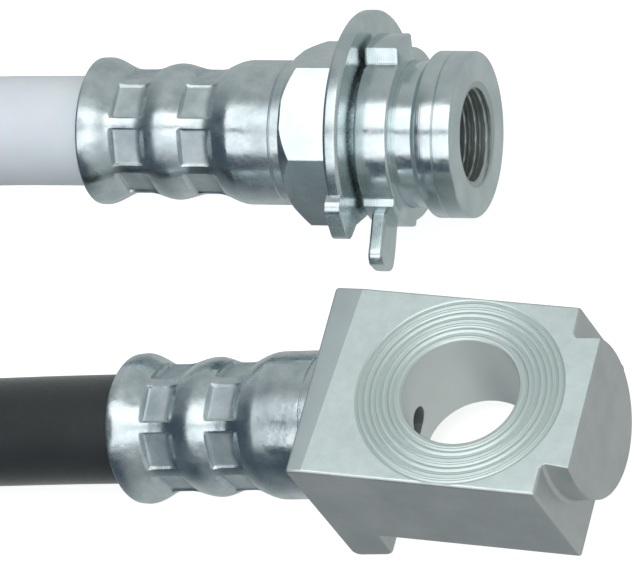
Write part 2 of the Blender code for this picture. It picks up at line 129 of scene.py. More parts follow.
def loft(name: str, rings: Sequence[Sequence[Vector]], closed: bool) -> Mesh:
    """Skin rings of equally many points.

    Args:
        name: Name of the mesh.
        rings: The rings in order.
        closed: Join the last ring to the first, or cap both ends flat.

    Returns:
        A closed mesh with its faces pointing out.
    """
    bm = bmesh.new()
    loops = [[bm.verts.new(point) for point in ring] for ring in rings]
    pairs = list(zip(loops, loops[1:]))
    if closed:
        pairs.append((loops[-1], loops[0]))
    else:
        bm.faces.new(loops[0])
        bm.faces.new(loops[-1])
    for first, second in pairs:
        for index, corner in enumerate(first):
            after = (index + 1) % len(first)
            bm.faces.new((corner, first[after], second[after], second[index]))
    bmesh.ops.recalc_face_normals(bm, faces=bm.faces)
    mesh = bpy.data.meshes.new(name)
    bm.to_mesh(mesh)
    bm.free()
    return mesh


def turned(name: str, profile: Sequence[Point2], closed: bool, steps: int,
           start_angle: float = 0.0, radius_at: Optional[RadiusAt] = None) -> Mesh:
    """Turn a profile round the x axis.

    Args:
        name: Name of the mesh.
        profile: Points of (x, radius).
        closed: True for a loop clear of the axis, False for a solid bar.
        steps: Number of points in each ring.
        start_angle: Angle of the first point, in radians.
        radius_at: Optional change of a point's radius from (x, radius, angle).

    Returns:
        The turned mesh.
    """
    rings = []
    for x, radius in profile:
        ring = []
        for step in range(steps):
            angle = start_angle + math.tau * step / steps
            local = radius if radius_at is None else radius_at(x, radius, angle)
            ring.append(polar(x, local, angle))
        rings.append(ring)
    return loft(name, rings, closed)


def extruded(name: str, outline: Sequence[Vector], offset: Vector) -> Mesh:
    """Return a flat outline extruded along an offset."""
    return loft(name, [list(outline), [point + offset for point in outline]], False)


def placed(name: str, data: bpy.types.ID) -> bpy.types.Object:
    """Put a new object into the scene.

    Args:
        name: Name of the object.
        data: Its mesh, light or camera.

    Returns:
        The object.
    """
    item = bpy.data.objects.new(name, data)
    bpy.context.scene.collection.objects.link(item)
    return item


def bevelled(mesh: Mesh, width: float, segments: int, limit: float = 40.0) -> Mesh:
    """Round a mesh's edges.

    Args:
        mesh: The mesh, which is replaced.
        width: Bevel width.
        segments: Segments across the bevel.
        limit: Smallest edge angle in degrees that is rounded.

    Returns:
        The rounded mesh.
    """
    item = placed(mesh.name, mesh)
    bevel = item.modifiers.new("round", "BEVEL")
    bevel.width = width
    bevel.segments = segments
    bevel.limit_method = "ANGLE"
    bevel.angle_limit = math.radians(limit)
    return baked(item)


def baked(item: bpy.types.Object) -> Mesh:
    """Evaluate an object's modifiers and remove the object.

    Args:
        item: The object.

    Returns:
        Its finished mesh.
    """
    bpy.context.view_layer.update()
    graph = bpy.context.evaluated_depsgraph_get()
    mesh = bpy.data.meshes.new_from_object(item.evaluated_get(graph))
    bpy.data.objects.remove(item, do_unlink=True)
    return mesh


def combined(base: Mesh, steps: Sequence[tuple[Join, Mesh]]) -> Mesh:
    """Join, cut or trim a mesh with others, one after the other.

    Args:
        base: The mesh to start from.
        steps: Pairs of how and with what.

    Returns:
        The resulting mesh.
    """
    item = placed(base.name, base)
    tools = []
    for how, mesh in steps:
        tool = placed(mesh.name, mesh)
        modifier = item.modifiers.new(how.value, "BOOLEAN")
        modifier.operation = how.value
        modifier.object = tool
        modifier.solver = "EXACT"
        tools.append(tool)
    mesh = baked(item)
    for tool in tools:
        bpy.data.objects.remove(tool, do_unlink=True)
    return mesh


def dressed(name: str, mesh: Mesh, at: EndFrame, finish: Material,
            slot: str, *nodes: str) -> bpy.types.Object:
    """Place a finished mesh on the root body in the stead of CAD nodes.

    Args:
        name: Name of the piece.
        mesh: Its mesh in its end's frame.
        at: The end that it belongs to.
        finish: Its material.
        slot: Not used.
        nodes: CAD nodes that it stands for.

    Returns:
        The new object.
    """
    mesh.materials.clear()
    mesh.materials.append(finish)
    mesh.shade_smooth()
    mesh.set_sharp_from_angle(angle=SHARP_ANGLE)
    item = placed(name, mesh)
    item.matrix_world = at.matrix()
    normals = item.modifiers.new("even_normals", "WEIGHTED_NORMAL")
    normals.keep_sharp = True
    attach(item, "root")
    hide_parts(*nodes)
    LOG.info("%s: %d faces", name, len(mesh.polygons))
    return item


@dataclass(frozen=True)
class Noise:
    """Patches per metre of a noise, its octaves, the weight of the finer ones and its bump depth."""

    scale: float
    detail: float = 3.0
    roughness: float = 0.5
    depth: float = 0.0


class NodeBoard:
    """A small helper that lays out one material's nodes."""

    def __init__(self, name: str) -> None:
        """Make an empty node material with its shader and output.

        Args:
            name: Name of the material.
        """
        self.material = bpy.data.materials.new(name)
        self.material.use_nodes = True
        self.tree = self.material.node_tree
        self.tree.nodes.clear()
        self.shader = self.add("ShaderNodeBsdfPrincipled")
        output = self.add("ShaderNodeOutputMaterial")
        self.link(self.shader.outputs["BSDF"], output.inputs["Surface"])
        self.place = self.add("ShaderNodeTexCoord").outputs["Object"]

    def add(self, kind: str) -> bpy.types.Node:
        """Return a new node of a kind."""
        return self.tree.nodes.new(kind)

    def link(self, source: Socket, target: Socket) -> None:
        """Join two sockets."""
        self.tree.links.new(source, target)

    def feed(self, socket: str, value: Socket) -> None:
        """Link a value into one of the shader's sockets."""
        self.link(value, self.shader.inputs[socket])

    def set(self, **values: Union[float, tuple[float, ...]]) -> None:
        """Set the shader's own sockets, with underscores for the spaces in their names."""
        for name, value in values.items():
            self.shader.inputs[name.replace("_", " ")].default_value = value

    def mapped(self, scale: Triple = (1.0, 1.0, 1.0), angle: float = 0.0) -> Socket:
        """Stretch the object coordinates and turn them about their y axis.

        Args:
            scale: Factor for each axis.
            angle: Angle in radians.

        Returns:
            The changed coordinates.
        """
        node = self.add("ShaderNodeMapping")
        node.inputs["Scale"].default_value = scale
        node.inputs["Rotation"].default_value = (0.0, angle, 0.0)
        self.link(self.place, node.inputs["Vector"])
        return node.outputs["Vector"]

    def noise(self, noise: Noise, place: Optional[Socket] = None) -> Socket:
        """Lay out a noise.

        Args:
            noise: Its settings.
            place: Coordinates, or None for the object's own.

        Returns:
            The noise factor.
        """
        node = self.add("ShaderNodeTexNoise")
        node.inputs["Scale"].default_value = noise.scale
        node.inputs["Detail"].default_value = noise.detail
        node.inputs["Roughness"].default_value = noise.roughness
        self.link(place or self.place, node.inputs["Vector"])
        return node.outputs["Fac"]

    def height(self, noise: Noise, place: Optional[Socket] = None) -> tuple[Socket, float]:
        """Return a noise and its depth, for the relief."""
        return self.noise(noise, place), noise.depth

    def ramp(self, value: Socket, low: tuple[float, ...], high: tuple[float, ...],
             start: float = 0.35, end: float = 0.65) -> Socket:
        """Blend two colours.

        Args:
            value: The value that drives the blend.
            low: Colour at the start.
            high: Colour at the end.
            start: Value at which the blend starts.
            end: Value at which it ends.

        Returns:
            The blended colour.
        """
        node = self.add("ShaderNodeValToRGB")
        first, last = node.color_ramp.elements
        first.position, last.position = start, end
        first.color, last.color = (*low, 1.0), (*high, 1.0)
        self.link(value, node.inputs["Fac"])
        return node.outputs["Color"]

    def spread(self, value: Socket, low: float, high: float,
               start: float = 0.3, end: float = 0.7) -> Socket:
        """Blend two numbers.

        Args:
            value: The value that drives the blend.
            low: Number at the start.
            high: Number at the end.
            start: Value at which the blend starts.
            end: Value at which it ends.

        Returns:
            The blended number.
        """
        node = self.add("ShaderNodeMapRange")
        node.inputs["From Min"].default_value = start
        node.inputs["From Max"].default_value = end
        node.inputs["To Min"].default_value = low
        node.inputs["To Max"].default_value = high
        self.link(value, node.inputs["Value"])
        return node.outputs["Result"]

    def bands(self, pitch: float, waver: float = 1.5) -> Socket:
        """Draw fine bands along the object's x axis.

        Args:
            pitch: Distance from band to band in metres.
            waver: How far the bands stray from straight.

        Returns:
            The bands' value.
        """
        node = self.add("ShaderNodeTexWave")
        node.bands_direction = "X"
        node.inputs["Scale"].default_value = math.tau / (WAVE_FACTOR * pitch)
        node.inputs["Distortion"].default_value = waver
        self.link(self.place, node.inputs["Vector"])
        return node.outputs["Fac"]

    def rings(self, pitch: float, place: Socket, waver: float = 0.6) -> Socket:
        """Draw fine rings round a z axis.

        Args:
            pitch: Distance from ring to ring in metres.
            place: Coordinates whose z axis the rings go round.
            waver: How far the rings stray from round.

        Returns:
            The rings' value.
        """
        node = self.add("ShaderNodeTexWave")
        node.wave_type = "RINGS"
        node.rings_direction = "Z"
        node.inputs["Scale"].default_value = math.tau / (WAVE_FACTOR * pitch)
        node.inputs["Distortion"].default_value = waver
        self.link(place, node.inputs["Vector"])
        return node.outputs["Fac"]

    def split(self, vector: Socket) -> dict[str, Socket]:
        """Split a vector.

        Args:
            vector: The vector.

        Returns:
            Its three numbers by axis name.
        """
        node = self.add("ShaderNodeSeparateXYZ")
        self.link(vector, node.inputs["Vector"])
        return {axis: node.outputs[axis] for axis in "XYZ"}

    def compare(self, how: str, value: Socket, limit: float) -> Socket:
        """Mark where a value is over or under a limit.

        Args:
            how: GREATER_THAN or LESS_THAN.
            value: The value.
            limit: The limit.

        Returns:
            1 where it is so, and 0 elsewhere.
        """
        node = self.add("ShaderNodeMath")
        node.operation = how
        node.inputs[1].default_value = limit
        self.link(value, node.inputs[0])
        return node.outputs["Value"]

    def product(self, first: Socket, second: Socket) -> Socket:
        """Multiply two values.

        Args:
            first: One value.
            second: The other value.

        Returns:
            Their product.
        """
        node = self.add("ShaderNodeMath")
        node.operation = "MULTIPLY"
        self.link(first, node.inputs[0])
        self.link(second, node.inputs[1])
        return node.outputs["Value"]

    def mixed(self, share: Socket, colour: Socket,
              other: Union[Triple, Socket]) -> Socket:
        """Change a colour to another in places.

        Args:
            share: 1 where the other colour shows, and 0 elsewhere.
            colour: The colour to start from.
            other: The other colour, fixed or from a node.

        Returns:
            The mixed colour.
        """
        node = self.add("ShaderNodeMix")
        node.data_type = "RGBA"
        if isinstance(other, tuple):
            node.inputs[MIX_OTHER].default_value = (*other, 1.0)
        else:
            self.link(other, node.inputs[MIX_OTHER])
        self.link(share, node.inputs[MIX_SHARE])
        self.link(colour, node.inputs[MIX_BASE])
        return node.outputs[MIX_RESULT]

    def distance(self, place: Socket, across: Triple) -> Socket:
        """Measure the distance from an axis.

        Args:
            place: Coordinates.
            across: 0 for the axis itself, and 1 for the two others.

        Returns:
            The distance in metres.
        """
        masked = self.add("ShaderNodeVectorMath")
        masked.operation = "MULTIPLY"
        masked.inputs[1].default_value = across
        self.link(place, masked.inputs[0])
        length = self.add("ShaderNodeVectorMath")
        length.operation = "LENGTH"
        self.link(masked.outputs["Vector"], length.inputs[0])
        return length.outputs["Value"]

    def dullness(self, value: Socket, low: float, high: float, share: Socket,
                 other: float, start: float = 0.35, end: float = 0.65) -> None:
        """Set the shader's roughness.

        Args:
            value: The value that drives the roughness.
            low: Roughness at the start.
            high: Roughness at the end.
            share: 1 where the other roughness holds, and 0 elsewhere.
            other: The other roughness.
            start: Value at which the change starts.
            end: Value at which it ends.
        """
        colour = self.ramp(value, (low,) * 3, (high,) * 3, start, end)
        self.feed("Roughness", self.mixed(share, colour, (other,) * 3))

    def relief(self, heights: Sequence[tuple[Socket, float]], edge: float = 0.0) -> None:
        """Give the shader fine relief.

        Args:
            heights: Pairs of a height value and its depth in metres.
            edge: Radius of the softened edges, or 0 for none.
        """
        normal = None
        if edge > 0.0:
            bevel = self.add("ShaderNodeBevel")
            bevel.inputs["Radius"].default_value = edge
            normal = bevel.outputs["Normal"]
        for height, depth in heights:
            bump = self.add("ShaderNodeBump")
            bump.inputs["Strength"].default_value = 1.0
            bump.inputs["Distance"].default_value = depth
            self.link(height, bump.inputs["Height"])
            if normal is not None:
                self.link(normal, bump.inputs["Normal"])
            normal = bump.outputs["Normal"]
        if normal is not None:
            self.feed("Normal", normal)


@dataclass(frozen=True)
class ZincFinish:
    """Bright zinc plating on turned and crimped steel, with painted shade inside the threaded port."""

    name: str = "bright_zinc"
    low: Triple = (0.56, 0.635, 0.65)
    high: Triple = (0.69, 0.755, 0.765)
    smooth: float = 0.13
    rough: float = 0.26
    turning_pitch: float = 0.22 * MM
    turning_depth: float = 0.0012 * MM
    edge: float = 0.12 * MM
    port_radius: float = 5.12 * MM
    # painted shade: colour inside the threaded port, a little darker and greener than the plating
    port_painted_shade: Triple = (0.55, 0.60, 0.585)
    port_rough: float = 0.42
    cloud: Noise = Noise(240.0, detail=4.0)
    speckle: Noise = Noise(1300.0, roughness=0.6)
    speckle_range: tuple[float, float] = (0.3, 0.7)
    dents: Noise = Noise(700.0, detail=2.0, depth=0.006 * MM)

    def material(self) -> Material:
        """Build the plated metal."""
        board = NodeBoard(self.name)
        board.set(Metallic=1.0)
        cloud = board.noise(self.cloud)
        radius = board.distance(board.place, (0.0, 1.0, 1.0))
        in_port = board.compare("LESS_THAN", radius, self.port_radius)
        colour = board.ramp(cloud, self.low, self.high)
        # painted shade: inside the port's radius the plating colour gives way to a darker, greener one
        board.feed("Base Color", board.mixed(in_port, colour, self.port_painted_shade))
        speckle = board.noise(self.speckle)
        board.dullness(speckle, self.smooth, self.rough, in_port, self.port_rough, *self.speckle_range)
        turning = board.bands(self.turning_pitch)
        board.relief([(turning, self.turning_depth), board.height(self.dents)], self.edge)
        return board.material


@dataclass(frozen=True)
class CrimpedFinish:
    """Zinc plating on the pressed shells, waved and dulled by the jaws."""

    name: str = "crimped_zinc"
    low: Triple = (0.50, 0.575, 0.60)
    high: Triple = (0.68, 0.745, 0.755)
    smooth: float = 0.18
    rough: float = 0.38
    edge: float = 0.10 * MM
    cloud: Noise = Noise(420.0, detail=5.0, roughness=0.6)
    patch: Noise = Noise(330.0, detail=4.0, roughness=0.6)
    patch_stretch: Triple = (0.7, 1.0, 1.0)
    patch_range: tuple[float, float] = (0.38, 0.66)
    dents: Noise = Noise(480.0, detail=2.0, depth=0.045 * MM)
    grain: Noise = Noise(1500.0, detail=2.0, depth=0.008 * MM)
    drawn: Noise = Noise(900.0, roughness=0.55, depth=0.010 * MM)
    drawn_stretch: Triple = (0.25, 1.0, 1.0)

    def material(self) -> Material:
        """Build the pressed plated metal."""
        board = NodeBoard(self.name)
        board.set(Metallic=1.0)
        cloud = board.noise(self.cloud)
        board.feed("Base Color", board.ramp(cloud, self.low, self.high))
        patch = board.noise(self.patch, board.mapped(self.patch_stretch))
        board.feed("Roughness", board.spread(patch, self.smooth, self.rough, *self.patch_range))
        drawn = board.height(self.drawn, board.mapped(self.drawn_stretch))
        board.relief([board.height(self.dents), board.height(self.grain), drawn], self.edge)
        return board.material


@dataclass(frozen=True)
class TumbledFinish:
    """Matte zinc on the block: tumbled skin, top painted paler as painted light, turned ring face,
    hose-side bevel painted darker as painted shade, and bored hole.
    """

    name: str = "tumbled_zinc"
    low: Triple = (0.54, 0.565, 0.56)
    high: Triple = (0.66, 0.68, 0.67)
    # painted light: colour of the faces that point up, paler and greener than the sides
    top_painted_light_low: Triple = (0.76, 0.865, 0.85)
    top_painted_light_high: Triple = (0.83, 0.935, 0.92)
    ring_tone: Triple = (0.67, 0.765, 0.74)
    ring_rough: float = 0.41
    metal: float = 0.85
    # painted shade: colour of the hose-side bevel on the top, darker than the top
    bevel_painted_shade: Triple = (0.58, 0.65, 0.665)
    bored: Triple = (0.86, 0.90, 0.88)
    smooth: float = 0.36
    rough: float = 0.50
    edge: float = 0.09 * MM
    tilt: float = math.radians(12.26)
    face_height: float = 5.46 * MM
    ring_radius: float = 9.96 * MM
    bore_radius: float = 5.6 * MM
    turning_pitch: float = 0.34 * MM
    bevel_start: float = -11.01 * MM
    bevel_slant: float = -0.0595
    face_reach: float = 0.15 * MM
    upward_limit: float = 0.9
    turning_depth: float = 0.028 * MM
    cloud: Noise = Noise(160.0, detail=8.0, roughness=0.72)
    mottle: Noise = Noise(900.0, detail=5.0, roughness=0.65)
    grain: Noise = Noise(2600.0, roughness=0.6, depth=0.004 * MM)
    dents: Noise = Noise(500.0, detail=2.0, depth=0.02 * MM)

    def material(self) -> Material:
        """Build the matte metal."""
        board = NodeBoard(self.name)
        board.set(Metallic=self.metal)
        cloud = board.noise(self.cloud)
        skin = board.ramp(cloud, self.low, self.high)

        turned_place = board.mapped(angle=-self.tilt)
        split = board.split(turned_place)
        distance = board.distance(turned_place, (1.0, 1.0, 0.0))
        on_top = board.compare("GREATER_THAN", split["Z"], self.face_height - self.face_reach)
        in_ring = board.product(on_top, board.compare("LESS_THAN", distance, self.ring_radius))
        in_bore = board.compare("LESS_THAN", distance, self.bore_radius)

        slant = board.add("ShaderNodeVectorMath")
        slant.operation = "DOT_PRODUCT"
        slant.inputs[1].default_value = (1.0, self.bevel_slant, 0.0)
        board.link(board.place, slant.inputs[0])
        facing = board.add("ShaderNodeTexCoord").outputs["Normal"]
        upward = board.compare("GREATER_THAN", board.split(facing)["Z"], self.upward_limit)
        before_edge = board.compare("LESS_THAN", slant.outputs["Value"], self.bevel_start)
        on_bevel = board.product(upward, before_edge)

        # painted light: faces that point up get this paler, greener colour in place of the tumbled skin's
        face = board.ramp(board.noise(self.mottle), self.top_painted_light_low, self.top_painted_light_high)
        # painted shade: the hose-side bevel on the top gets a darker colour than the rest of the top
        colour = board.mixed(on_bevel, board.mixed(upward, skin, face), self.bevel_painted_shade)
        colour = board.mixed(in_ring, colour, self.ring_tone)
        colour = board.mixed(in_bore, colour, self.bored)
        board.feed("Base Color", colour)
        board.dullness(cloud, self.smooth, self.rough, in_ring, self.ring_rough)
        rings = board.product(in_ring, board.rings(self.turning_pitch, turned_place))
        board.relief([board.height(self.grain), board.height(self.dents),
                      (rings, self.turning_depth)], self.edge)
        return board.material


@dataclass(frozen=True)
class RubberFinish:
    """Satin black cover of the hose."""

    name: str = "hose_rubber"
    low: Triple = (0.018, 0.021, 0.022)
    high: Triple = (0.030, 0.034, 0.036)
    smooth: float = 0.46
    rough: float = 0.62
    sheen: float = 0.55
    sheen_rough: float = 0.4
    cloud: Noise = Noise(90.0, detail=4.0)
    grain: Noise = Noise(2200.0, roughness=0.6, depth=0.008 * MM)
    dents: Noise = Noise(160.0, depth=0.03 * MM)

    def material(self) -> Material:
        """Build the rubber."""
        board = NodeBoard(self.name)
        cloud = board.noise(self.cloud)
        board.feed("Base Color", board.ramp(cloud, self.low, self.high))
        grain = board.noise(self.grain)
        board.feed("Roughness", board.spread(grain, self.smooth, self.rough))
        board.set(Sheen_Weight=self.sheen, Sheen_Roughness=self.sheen_rough)
        board.relief([(grain, self.grain.depth), board.height(self.dents)])
        return board.material


@dataclass(frozen=True)
class SleeveFinish:
    """Bluish white plastic sleeve."""

    name: str = "sleeve_plastic"
    low: Triple = (0.80, 0.855, 0.91)
    high: Triple = (0.86, 0.91, 0.96)
    smooth: float = 0.40
    rough: float = 0.54
    sheen: float = 0.1
    sheen_rough: float = 0.5
    scatter: float = 0.3
    scatter_depth: float = 0.004
    cloud: Noise = Noise(150.0, detail=4.0)
    grain: Noise = Noise(1500.0, depth=0.004 * MM)
    dents: Noise = Noise(260.0, detail=2.0, depth=0.02 * MM)

    def material(self) -> Material:
        """Build the plastic."""
        board = NodeBoard(self.name)
        cloud = board.noise(self.cloud)
        board.feed("Base Color", board.ramp(cloud, self.low, self.high))
        grain = board.noise(self.grain)
        board.feed("Roughness", board.spread(grain, self.smooth, self.rough))
        board.set(Sheen_Weight=self.sheen, Sheen_Roughness=self.sheen_rough,
                  Subsurface_Weight=self.scatter, Subsurface_Scale=self.scatter_depth)
        board.relief([(grain, self.grain.depth), board.height(self.dents)])
        return board.material


@dataclass(frozen=True)
class StemFinish:
    """Plain drawn steel of the tube stems."""

    name: str = "stem_steel"
    low: Triple = (0.42, 0.43, 0.44)
    high: Triple = (0.55, 0.56, 0.57)
    smooth: float = 0.28
    rough: float = 0.42
    streak: Noise = Noise(400.0, depth=0.003 * MM)
    streak_stretch: Triple = (0.1, 1.0, 1.0)

    def material(self) -> Material:
        """Build the drawn steel."""
        board = NodeBoard(self.name)
        board.set(Metallic=1.0)
        streak = board.noise(self.streak, board.mapped(self.streak_stretch))
        board.feed("Base Color", board.ramp(streak, self.low, self.high))
        board.feed("Roughness", board.spread(streak, self.smooth, self.rough))
        board.relief([(streak, self.streak.depth)])
        return board.material


@dataclass
class BanjoBlock:
    """Banjo block: sloping slab, foot, turned boss, bolt bore and ringed sealing face."""

    thickness: float = 11.05 * MM
    half_width: float = 10.09 * MM
    back: float = 13.21 * MM
    front: float = 10.38 * MM
    tilt: float = math.radians(12.26)
    top_offset: float = 5.46 * MM
    bevel_near: float = 1.6 * MM
    bevel_far: float = 2.8 * MM
    bevel_drop: float = 0.28 * MM
    foot_length: float = 4.4 * MM
    foot_drop: float = 7.25 * MM
    foot_corner: float = 0.9 * MM
    bore_radius: float = 5.55 * MM
    port_radius: float = 1.5 * MM
    boss_radius: float = 7.49 * MM
    boss_length: float = 2.5 * MM
    boss_fillet: float = 0.45 * MM
    boss_edge: float = 0.3 * MM
    broken_corner: float = 1.3 * MM
    edge: float = 0.3 * MM
    ring_count: int = 7
    ring_first: float = 6.35 * MM
    ring_last: float = 9.75 * MM
    ring_depth: float = 0.11 * MM
    ring_half: float = 0.17 * MM
    ring_clearance: float = 0.02 * MM
    bore_chamfer: float = 0.18 * MM
    cut_clearance: float = 0.05 * MM
    cut_radii: float = 4.0
    boss_edge_limit: float = 55.0
    port_steps: int = 48
    turn_steps: int = FINE_STEPS

    def top_height(self, x: float) -> float:
        """Return the height of the sloping top above the hose axis."""
        return self.top_offset / math.cos(self.tilt) - x * math.tan(self.tilt)

    def under_height(self, x: float) -> float:
        """Return the height of the underside, parallel to the top."""
        return self.top_height(x) - self.thickness / math.cos(self.tilt)

    def lean(self) -> Vector:
        """Return the direction of the bolt bore, square to the top."""
        return Vector((math.sin(self.tilt), 0.0, math.cos(self.tilt)))

    def side(self, y: float, bevel_width: float) -> list[Vector]:
        """Return the block's side view at a distance across it.

        Args:
            y: Distance across the block.
            bevel_width: Width of the hose side bevel there.

        Returns:
            The corners in order.
        """
        foot_front = -self.back + self.foot_length
        corner = self.foot_corner
        bevel_end = -self.back + bevel_width
        outline = [(-self.back, self.top_height(-self.back) - self.bevel_drop)]
        outline += arc((-self.back + corner, corner - self.foot_drop), corner, 180.0, 270.0, ROUND_STEPS)
        outline += arc((foot_front - corner, corner - self.foot_drop), corner, 270.0, 360.0, ROUND_STEPS)
        outline.append((foot_front, self.under_height(foot_front)))
        outline.append((self.front, self.under_height(self.front)))
        outline.append((self.front, self.top_height(self.front)))
        outline.append((bevel_end, self.top_height(bevel_end)))
        return [Vector((x, y, z)) for x, z in outline]

    def slab(self) -> Mesh:
        """Build the slab with its foot and the slanting bevel on the hose side."""
        rings = [self.side(-self.half_width, self.bevel_near), self.side(self.half_width, self.bevel_far)]
        return bevelled(loft("slab", rings, False), self.edge, EDGE_SEGMENTS)

    def corner_cutter(self) -> Mesh:
        """Build the cutter that breaks the slab's far lower corner, hidden behind the boss."""
        size, clear = self.broken_corner, self.cut_clearance
        low, back = self.under_height(self.front), self.front - size
        side, inside = self.half_width + clear, self.half_width - size
        outer = [Vector((back, side, self.under_height(back) - clear)),
                 Vector((self.front + clear, side, low + size)),
                 Vector((self.front + size, side, low - size))]
        inner = [Vector((self.front - clear, inside, low - clear)),
                 Vector((self.front + clear, inside, low + clear)),
                 Vector((self.front + size, inside, low - size))]
        return loft("corner_cutter", [outer, inner], False)

    def boss(self) -> Mesh:
        """Build the turned boss, cut flush with the sloping top."""
        end = self.front + self.boss_length
        fillet = arc((self.front + self.boss_fillet, self.boss_radius + self.boss_fillet),
                     self.boss_fillet, 180.0, 270.0, ROUND_STEPS)
        profile = [(self.front - self.boss_length, self.boss_radius - self.boss_fillet)] + fillet
        profile.append((end, self.boss_radius))
        reach = self.cut_radii * self.boss_radius
        corners = ((-reach, self.top_height(-reach)), (reach, self.top_height(reach)),
                   (reach, reach), (-reach, reach))
        wedge = [Vector((x, -reach, z)) for x, z in corners]
        cutter = extruded("above_top", wedge, Vector((0.0, 2.0 * reach, 0.0)))
        cut = combined(turned("boss", profile, False, self.turn_steps), [(Join.CUT, cutter)])
        return bevelled(cut, self.boss_edge, EDGE_SEGMENTS, self.boss_edge_limit)

    def along_bore(self, name: str, profile: Sequence[Point2], closed: bool) -> Mesh:
        """Turn a profile round the bolt bore's axis instead of the hose axis.

        Args:
            name: Name of the mesh.
            profile: Points of (height, radius).
            closed: True for a loop clear of the axis, False for a solid bar.

        Returns:
            The turned mesh.
        """
        mesh = turned(name, profile, closed, self.turn_steps)
        mesh.transform(Vector((1.0, 0.0, 0.0)).rotation_difference(self.lean()).to_matrix().to_4x4())
        return mesh

    def rings(self) -> Mesh:
        """Build the cutter of the fine concentric grooves round the bore."""
        pitch = (self.ring_last - self.ring_first) / (self.ring_count - 1)
        clear = self.ring_clearance
        profile: list[Point2] = []
        for index in range(self.ring_count):
            middle = self.ring_first + pitch * index
            profile.append((self.top_offset + clear, middle - self.ring_half))
            profile.append((self.top_offset - self.ring_depth, middle))
            profile.append((self.top_offset + clear, middle + self.ring_half))
        lid = self.top_offset + self.edge
        profile += [(lid, self.ring_last + self.ring_half), (lid, self.ring_first - self.ring_half)]
        return self.along_bore("ring_cutter", profile, True)

    def build(self, finish: Material) -> bpy.types.Object:
        """Build and dress the block.

        Args:
            finish: Its material.

        Returns:
            The block.
        """
        chamfer = self.bore_chamfer
        bore = [(-self.thickness, self.bore_radius), (self.top_offset - chamfer, self.bore_radius),
                (self.top_offset + chamfer, self.bore_radius + 2.0 * chamfer),
                (self.thickness, self.bore_radius + 2.0 * chamfer)]
        port = [(-self.back + self.foot_length, self.port_radius), (0.0, self.port_radius)]
        mesh = combined(self.slab(), [
            (Join.CUT, self.corner_cutter()),
            (Join.ADD, self.boss()),
            (Join.CUT, self.along_bore("bolt_bore", bore, False)),
            (Join.CUT, self.rings()),
            (Join.CUT, turned("fluid_port", port, False, self.port_steps))])
        return dressed("banjo_block_detail", mesh, BLOCK_FRAME, finish, "banjo_block", "banjo_block")


